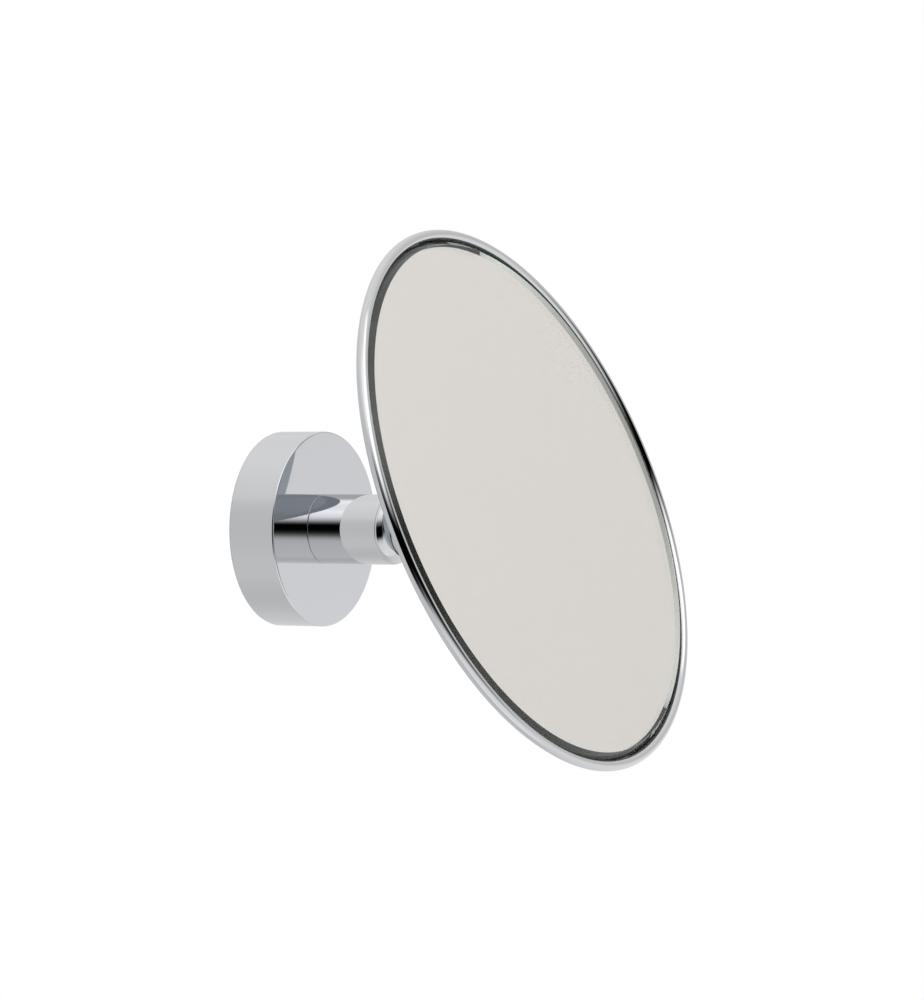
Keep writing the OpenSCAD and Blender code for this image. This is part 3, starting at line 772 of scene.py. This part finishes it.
def stud_section(sizes):
    """The ball stud: a ball, a fillet into its neck, a flange against the hub and a threaded end."""
    fillet, pole_turn = 0.001, 0.02
    fillet_centre = np.array([sizes.neck + fillet, 0.0])
    fillet_centre[1] = math.sqrt((sizes.ball + fillet) ** 2 - fillet_centre[0] ** 2)
    angle_up = heading_of(fillet_centre)
    flange_front = HUB.low - FIT
    flange_back = flange_front - sizes.flange_height
    shank = HUB.inner - FIT
    return np.vstack([
        pole(-sizes.ball, -1),
        arc((0, 0), sizes.ball, -math.pi / 2 + pole_turn, angle_up, steps=2 * ARC_STEPS),
        arc(fillet_centre, fillet, angle_up + math.pi, math.pi, -1, CORNER_STEPS),
        corners([
            (sizes.neck, 0.0), (sizes.neck, flange_back, WIDE), (sizes.flange, flange_back, ROUND),
            (sizes.flange, flange_front, SOFT), (shank, flange_front, EDGE),
            (shank, STUD.high, WIDE), (0.0, STUD.high)], closed=False),
        pole(STUD.high, 1),
    ])


def hub_section(sizes):
    """The hub: a round boss with its back edge rounded and a bore for the stud's end."""
    return corners([
        (HUB.inner, HUB.low, SOFT),
        (HUB.outer, HUB.low, sizes.hub_round),
        (HUB.outer, HUB.high, ROUND),
        (HUB.inner, HUB.high, EDGE),
    ])


def shell_section(sizes):
    """The back shell: a flat middle, a dish that is one large arc through the flat's edge and the
    flange's edge, and a flat flange, all of one sheet, with soft creases between them."""
    sheet, flat = sizes.shell_sheet, sizes.shell_flat
    dish_r = SHELL.outer - sizes.shell_flange
    flange_back = SHELL.high - sheet
    depth = flange_back - SHELL.low
    rise = (dish_r ** 2 - flat ** 2 - depth ** 2) / (2 * depth)
    big = math.hypot(dish_r, rise)
    top = np.array([0.0, flange_back + rise])
    crease, bend = 0.025, 0.003

    def at(radius, height):
        """The centre at that height and distance from the dish's centre."""
        return np.array([math.sqrt(radius ** 2 - (top[1] - height) ** 2), height])

    low = at(big - crease, SHELL.low + crease)
    high = at(big + bend, flange_back - bend)
    down, up = -math.pi / 2, math.pi / 2
    steps = CORNER_STEPS
    return np.vstack([
        arc(low, crease, down, heading_of(low - top), 1, steps),
        arc(top, big, heading_of(low - top), heading_of(high - top)),
        arc(high, bend, heading_of(top - high), up, -1, steps),
        corners([
            (dish_r, flange_back), (SHELL.outer, flange_back, EDGE),
            (SHELL.outer, SHELL.high, EDGE), (dish_r, SHELL.high)], closed=False),
        arc(high, bend + sheet, up, heading_of(top - high), 1, steps),
        arc(top, big - sheet, heading_of(high - top), heading_of(low - top), -1),
        arc(low, crease - sheet, heading_of(low - top), down, -1, steps),
        corners([
            (flat, SHELL.low + sheet), (SHELL.inner, SHELL.low + sheet, EDGE),
            (SHELL.inner, SHELL.low, EDGE), (flat, SHELL.low)], closed=False),
    ])


def rim_section(sizes):
    """The rolled rim: a round bead of sheet with a narrow flat foot on the shell's flange, and an open
    seam beside the foot, under the edge of the glass. Small fillets end each of its arcs."""
    outer = (RIM.outer - RIM.inner) / 2
    inner = outer - sizes.rim_sheet
    centre = np.array([RIM.outer - outer, RIM.high - outer])
    foot, edge = RIM.low, 0.00004
    seam_r = centre[0] - outer / 6
    seam_top = foot + sizes.rim_sheet + 2 * FIT

    def at_height(radius, height, side):
        """The point of a circle round the centre at that height, on one side."""
        rise = height - centre[1]
        return np.array([centre[0] + side * math.sqrt(radius ** 2 - rise ** 2), height])

    def ahead(point):
        """The way on round the bead, anticlockwise."""
        return unit(np.array([centre[1] - point[1], point[0] - centre[0]])) * outer

    foot_out = at_height(outer, foot, 1)
    lip_out, lip_in = at_height(outer, seam_top, -1), at_height(inner, seam_top, -1)
    fold = np.array([seam_r, centre[1] - math.sqrt(inner ** 2 - (seam_r - centre[0]) ** 2)])
    foot_in = np.array([seam_r, foot])
    trim = edge / outer
    full = 2 * math.pi
    return np.vstack([
        corner(foot_in, foot_out, foot_out + ahead(foot_out), edge),
        arc(centre, outer, heading_of(foot_out - centre) + trim,
            heading_of(lip_out - centre) % full - trim, 1, RIM_STEPS),
        corner(lip_out - ahead(lip_out), lip_out, lip_in, edge),
        corner(lip_out, lip_in, lip_in - ahead(lip_in), edge / 2),
        arc(centre, inner, heading_of(lip_in - centre) % full - 2 * trim,
            heading_of(fold - centre) + 2 * trim, -1, RIM_STEPS),
        corner(fold + ahead(fold), fold, foot_in, edge),
        corner(fold, foot_in, foot_out, edge),
    ])


def glass_section(sizes):
    """The glass: a disc whose front edge is a flat 45 degree bevel between two small arrises."""
    bevel = sizes.glass_bevel
    return np.vstack([
        pole(GLASS.low, -1),
        corners([
            (0.0, GLASS.low), (GLASS.outer, GLASS.low, sizes.glass_chamfer),
            (GLASS.outer, GLASS.high - bevel, sizes.glass_arris),
            (GLASS.outer - bevel, GLASS.high, sizes.glass_arris), (0.0, GLASS.high)], closed=False),
        pole(GLASS.high, 1),
    ])


def disc_section(low, high, radius, edge):
    """A disc with a rounded edge, closed at both poles."""
    return np.vstack([
        pole(low, -1),
        corners([(0.0, low), (radius, low, edge), (radius, high, edge), (0.0, high)], closed=False),
        pole(high, 1),
    ])


# ---------------------------------------------------------------- operators


class PieceOperator:
    """What every operator here shares: it can be undone."""
    bl_options = {"REGISTER", "UNDO"}


class MIRROR_OT_rose(PieceOperator, bpy.types.Operator):
    """Makes the chrome rose that covers the wall bracket"""
    bl_idname = "shaving_mirror.rose"
    bl_label = "Wall rose"

    def execute(self, context):
        piece = turned("polished_rose", rose_section(context.scene.mirror_rose), ARM)
        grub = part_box("grub_screw")
        height = (grub[0][1] + grub[1][1]) / 2
        radius = (grub[1][0] - grub[0][0]) / 2 + FIT
        inward, outward = 0.004, 0.002
        line = Line(np.array([0.0, height, 0.0]), -TOP, EAST, np.cross(-TOP, EAST))
        bored(piece, line, radius, ROSE.outer - inward, ROSE.outer + outward)
        settle(piece, "wall_unit", finish("chrome"), "chrome", "rose_cover")
        return {"FINISHED"}


class MIRROR_OT_arm(PieceOperator, bpy.types.Operator):
    """Makes the telescopic arm: fixed sleeve, domed end collar and sliding tube"""
    bl_idname = "shaving_mirror.arm"
    bl_label = "Telescopic arm"

    def execute(self, context):
        sizes = context.scene.mirror_arm
        neck = context.scene.mirror_head.neck
        sleeve = turned("polished_sleeve", sleeve_section(sizes), ARM)
        settle(sleeve, "wall_unit", finish("chrome"), "chrome", "arm_sleeve")
        collar = turned("domed_collar", collar_section(sizes), ARM)
        settle(collar, "wall_unit", finish("chrome"), "chrome", "end_collar")
        tube = turned("polished_tube", tube_section(sizes, neck), ARM)
        settle(tube, "slide", finish("chrome"), "chrome", "slide_tube")
        return {"FINISHED"}


class MIRROR_OT_ball_joint(PieceOperator, bpy.types.Operator):
    """Makes the ball joint: black liner and turned ball stud"""
    bl_idname = "shaving_mirror.ball_joint"
    bl_label = "Ball joint"

    def execute(self, context):
        sizes = context.scene.mirror_head
        line = Line(BALL, ARM.axis, EAST, TOP)
        liner = turned("black_liner", liner_section(context.scene.mirror_arm, sizes.neck), line)
        settle(liner, "liner", finish("liner_nylon"), "liner_nylon", "ball_liner")
        stud = turned("turned_stud", stud_section(sizes), HEAD, closed=False)
        settle(stud, "stud", finish("chrome"), "chrome", "ball_stud")
        return {"FINISHED"}


class MIRROR_OT_back(PieceOperator, bpy.types.Operator):
    """Makes the pressed back shell and the hub on it"""
    bl_idname = "shaving_mirror.back"
    bl_label = "Back shell and hub"

    def execute(self, context):
        sizes = context.scene.mirror_head
        shell = turned("pressed_back", shell_section(sizes), HEAD)
        settle(shell, "head", finish("satin_shell"), "satin_shell", "back_shell")
        hub = turned("turned_hub", hub_section(sizes), HEAD)
        settle(hub, "head", finish("chrome"), "chrome", "hub_boss")
        return {"FINISHED"}


class MIRROR_OT_rim(PieceOperator, bpy.types.Operator):
    """Makes the rolled chrome rim"""
    bl_idname = "shaving_mirror.rim"
    bl_label = "Rolled rim"

    def execute(self, context):
        rim = turned("rolled_rim", rim_section(context.scene.mirror_head), HEAD, segments=HEAD_SEGMENTS)
        settle(rim, "head", finish("chrome"), "chrome", "rim_ring")
        return {"FINISHED"}


def finish_the_edge(glass):
    """Gives the glass's edge its finishes. A face beyond the flat front belongs to the bevel, unless it
    is at the very back, and one that is beyond the silver coat and behind the bevel to the ground edge."""
    mesh = glass.data
    bevel = bpy.context.scene.mirror_head.glass_bevel
    mesh.materials.append(bevel_glass())
    mesh.materials.append(ground_glass())
    middles = np.empty(len(mesh.polygons) * 3)
    mesh.polygons.foreach_get("center", middles)
    offset = middles.reshape(-1, 3) - HEAD.origin
    height = offset @ HEAD.axis
    across = np.linalg.norm(offset - height[:, None] * HEAD.axis, axis=1)
    back_share = 0.1
    on_bevel = (across > GLASS.outer - bevel) & (height > GLASS.low + back_share * bevel)
    on_ground = (across > SILVER.outer) & (height < GLASS.high - bevel)
    index = np.where(on_ground, 2, np.where(on_bevel, 1, 0)).astype(np.int32)
    mesh.polygons.foreach_set("material_index", index)


class MIRROR_OT_glass(PieceOperator, bpy.types.Operator):
    """Makes the mirror: float glass with a silver coat behind it"""
    bl_idname = "shaving_mirror.glass"
    bl_label = "Mirror glass"

    def execute(self, context):
        gap, coat_round = 0.000005, 0.00003
        section = glass_section(context.scene.mirror_head)
        glass = turned("float_glass", section, HEAD, closed=False, segments=HEAD_SEGMENTS)
        settle(glass, "head", finish("glass"), "glass", "mirror_glass")
        finish_the_edge(glass)
        silver = turned(
            "silver_coat", disc_section(SILVER.low, SILVER.high - gap, SILVER.outer, coat_round), HEAD,
            closed=False)
        settle(silver, "head", finish("silvering"), "silvering", "mirror_silver")
        return {"FINISHED"}


class MIRROR_OT_inner_finishes(PieceOperator, bpy.types.Operator):
    """Gives the frame's own nodes their finishes, by the slot that each of them has"""
    bl_idname = "shaving_mirror.inner_finishes"
    bl_label = "Inner parts"

    def execute(self, context):
        for name, node in frame["nodes"].items():
            for place in node.material_slots:
                slot = place.material.name.split(".")[0]
                place.material = finish(name if name in ODD_NODES else slot)
        return {"FINISHED"}


SENSOR_WIDTH = 36.0
NEAREST, FARTHEST = 0.05, 50.0


def camera_axes(heading, pitch=0.0, roll=0.0):
    """The camera's three directions: to its right, up, and back. They are turned by a heading about
    the vertical, then by a pitch, then by a roll about the line of sight."""
    level = np.array([math.cos(heading), math.sin(heading), 0.0])
    back = math.cos(pitch) * np.cross(level, TOP) + math.sin(pitch) * TOP
    upright = np.cross(back, level)
    right = math.cos(roll) * level + math.sin(roll) * upright
    return right, np.cross(back, right), back


class MIRROR_OT_camera(PieceOperator, bpy.types.Operator):
    """Makes the camera, which looks level across the wall at the mirror"""
    bl_idname = "shaving_mirror.camera"
    bl_label = "Camera"

    def execute(self, context):
        look = context.scene.mirror_stage
        right, up, back = camera_axes(look.heading, look.pitch, look.roll)
        centre = BALL + SPIN * (RIM.high - (RIM.outer - RIM.inner) / 2)
        place = centre + look.distance * back + look.aside[0] * right + look.aside[1] * up
        data = bpy.data.cameras.new("Camera")
        data.lens = look.lens
        data.sensor_width = SENSOR_WIDTH
        data.shift_x, data.shift_y = look.shift
        data.clip_start = NEAREST
        data.clip_end = FARTHEST
        camera = bpy.data.objects.new("Camera", data)
        context.scene.collection.objects.link(camera)
        matrix = np.eye(4)
        matrix[:3, :3] = np.stack([right, up, back], axis=1)
        matrix[:3, 3] = place
        camera.matrix_world = Matrix(matrix.tolist())
        context.scene.camera = camera
        return {"FINISHED"}


class MIRROR_OT_stage(PieceOperator, bpy.types.Operator):
    """Makes the pale floor and the soft studio light"""
    bl_idname = "shaving_mirror.stage"
    bl_label = "Floor and light"

    def execute(self, context):
        look = context.scene.mirror_stage
        ground = Line(np.array([0.0, 0.0, -look.floor_drop]), TOP, EAST, np.cross(TOP, EAST))
        floor = turned(
            "floor", np.vstack([rows([look.floor_radius, 0.0], [0.0, 1.0]), pole(0.0, 1)]), ground,
            closed=False, segments=FLOOR_SEGMENTS)
        floor.data.materials.append(floor_material(look))
        floor.visible_glossy = False
        studio_light(context.scene, look)
        context.scene.view_settings.view_transform = "Standard"
        return {"FINISHED"}


def floor_material(look):
    """A pale floor, with a faint change of tone from place to place."""
    material, tree, shader = new_material("Pale floor", look.floor, 0.0, 0.8)
    grain = use_group(tree, "Surface grain", Scale=3.0)
    tree.links.new(tone(tree, grain["Tone"], shade(look.floor, 0.99), look.floor), shader["Base Color"])
    return material


# Light from all round by elevation in degrees: a tent of soft white that is brightest above.
TENT = [(-90, 0.70), (-58, 0.74), (-46, 0.82), (-30, 0.82), (-15, 0.78), (0, 0.77), (15, 0.78),
        (24, 0.84), (32, 0.94), (40, 0.96), (51, 1.00), (60, 1.05), (90, 1.00)]
# Light from the camera's side, by elevation over a tilted horizon: a dark strip below a softbox.
FRONT = [(-90, 1.15), (-40, 1.08), (-26, 1.00), (-16, 0.74), (-9, 0.36), (-3, 0.10), (3, 0.012), (8, 0.002),
         (20, 0.002), (23, 0.15), (27, 0.60), (32, 1.20), (39, 1.70), (50, 2.20), (66, 1.40), (90, 1.00)]
# Light from the camera's left: the same strip, with a grey wall above it and no softbox.
LEFT = [(-90, 1.15), (-40, 1.02), (-30, 0.90), (-24, 0.70), (-19, 0.35), (-14, 0.05), (-10, 0.002),
        (18, 0.002), (24, 0.12), (32, 0.30), (38, 0.70), (46, 1.02), (60, 1.30), (75, 1.40), (90, 1.00)]
# How far that horizon leans, and the turn from the camera's heading towards which its pole leans.
FRONT_LEAN = (11.5, -47.0)
# Light from the camera's right: bright and level, a little darker and warmer above. The third
# number warms the light, or cools it below zero.
RIGHT = [(-90, 0.80, 0), (-50, 0.95, 0), (-20, 1.04, -0.3), (-4, 1.03, -0.3), (0, 0.97, -0.3), (4, 0.92, 0),
         (13, 0.735, 1), (19, 0.76, 1), (25, 0.785, 1), (35, 0.85, 1), (60, 1.0, 0), (90, 1.0, 0)]
WARMTH = np.array([0.02, 0.0, -0.035])
# Where each side's light fades in and out, in degrees of turn from the camera's heading.
FRONT_TURNS = (-52, -46), (104, 84)
LIT_TURNS = (-4, 10)
RIGHT_TURNS = (80, 100), (175, 150)


def brightness(tree, elevation, stops):
    """Brightness by elevation, in straight lines between (degrees, brightness) stops."""
    node = add(tree, "ShaderNodeValToRGB", {"Fac": elevation})
    elements = node.color_ramp.elements
    while len(elements) < len(stops):
        elements.new(0.5)
    for element, stop in zip(elements, stops):
        element.position = (stop[0] + 90) / 180
    for element, stop in zip(elements, stops):
        warmth = stop[2] if len(stop) > 2 else 0
        element.color = (*(stop[1] * (1 + warmth * WARMTH)), 1.0)
    return node.outputs["Color"]


def window(tree, value, low, high):
    """A smooth step of a value from 0 at low to 1 at high."""
    return add(tree, "ShaderNodeMapRange", {
        "Value": value, "From Min": low, "From Max": high}, interpolation_type="SMOOTHSTEP").outputs["Result"]


def studio_light(scene, look):
    """The world: brightness by elevation, mixed from the tent and three sides by the turn from the
    camera's heading, and a plain backdrop where the camera looks straight at it."""
    world = bpy.data.worlds.new("Studio")
    scene.world = world
    world.use_nodes = True
    tree = world.node_tree
    tree.nodes.clear()
    right, up, back = camera_axes(look.heading)
    direction = add(tree, "ShaderNodeTexCoord").outputs["Generated"]

    def along(axis):
        """The direction's part along an axis."""
        return add(tree, "ShaderNodeVectorMath", {0: direction, 1: tuple(axis)},
                   operation="DOT_PRODUCT").outputs["Value"]

    degrees = 180 / math.pi

    def elevation(pole_axis):
        """Elevation over the horizon square to a pole, from 0 straight down to 1 straight up."""
        rise = reckon(tree, "ARCSINE", along(pole_axis))
        return reckon(tree, "MULTIPLY_ADD", rise, degrees / 180, 0.5)

    def between(turns):
        """1 between two fades of the turn, and 0 outside them."""
        return reckon(tree, "MULTIPLY", *(window(tree, turn, *edges) for edges in turns))

    lean, towards = (math.radians(part) for part in FRONT_LEAN)
    leaning = math.cos(lean) * up + math.sin(lean) * (math.sin(towards) * right + math.cos(towards) * back)
    turn = reckon(tree, "MULTIPLY", reckon(tree, "ARCTAN2", along(right), along(back)), degrees)
    tent, side = (brightness(tree, elevation(up), stops) for stops in (TENT, RIGHT))
    front = brightness(tree, elevation(leaning), FRONT)
    left = brightness(tree, elevation(leaning), LEFT)
    is_front, is_right = between(FRONT_TURNS), between(RIGHT_TURNS)
    is_lit = window(tree, turn, *LIT_TURNS)

    def mixed(factor, first, second):
        """Two colours mixed by a factor."""
        mix = add(tree, "ShaderNodeMix", {"Factor": factor}, data_type="RGBA")
        tree.links.new(first, mix.inputs["A"])
        tree.links.new(second, mix.inputs["B"])
        return mix.outputs["Result"]

    light = mixed(is_front, mixed(is_right, tent, side), mixed(is_lit, left, front))
    backdrop = add(tree, "ShaderNodeMix", {
        "Factor": add(tree, "ShaderNodeLightPath").outputs["Is Camera Ray"]}, data_type="RGBA")
    tree.links.new(light, backdrop.inputs["A"])
    backdrop.inputs["B"].default_value = (*look.backdrop, 1.0)
    shine = add(tree, "ShaderNodeBackground", {"Color": backdrop.outputs["Result"], "Strength": 1.0})
    output = add(tree, "ShaderNodeOutputWorld", {"Surface": shine.outputs["Background"]})
    tree.nodes.active = output


class MIRROR_PT_pieces(bpy.types.Panel):
    """Lists the operators that make the mirror"""
    bl_label = "Shaving mirror"
    bl_idname = "MIRROR_PT_pieces"
    bl_space_type = "VIEW_3D"
    bl_region_type = "UI"
    bl_category = "Mirror"

    def draw(self, context):
        """Draws one button for each operator."""
        for operator in OPERATORS:
            self.layout.operator(operator.bl_idname)


OPERATORS = [
    MIRROR_OT_camera, MIRROR_OT_rose, MIRROR_OT_arm, MIRROR_OT_ball_joint, MIRROR_OT_back,
    MIRROR_OT_rim, MIRROR_OT_glass, MIRROR_OT_inner_finishes, MIRROR_OT_stage,
]
SETTINGS = {
    "mirror_rose": RoseSizes, "mirror_arm": ArmSizes, "mirror_head": HeadSizes,
    "mirror_finishes": Finishes, "mirror_stage": StageLook,
}


def register():
    """Registers the settings, the operators and the panel."""
    for name, group in SETTINGS.items():
        bpy.utils.register_class(group)
        setattr(bpy.types.Scene, name, bpy.props.PointerProperty(type=group))
    for item in OPERATORS + [MIRROR_PT_pieces]:
        bpy.utils.register_class(item)


def unregister():
    """Takes them all out again."""
    for item in reversed(OPERATORS + [MIRROR_PT_pieces]):
        bpy.utils.unregister_class(item)
    for name, group in SETTINGS.items():
        delattr(bpy.types.Scene, name)
        bpy.utils.unregister_class(group)


def main():
    """Makes the mirror and its stage."""
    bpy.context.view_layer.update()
    register()
    for operator in OPERATORS:
        name = operator.bl_idname.split(".")[1]
        getattr(bpy.ops.shaving_mirror, name)()


if __name__ == "__main__":
    main()
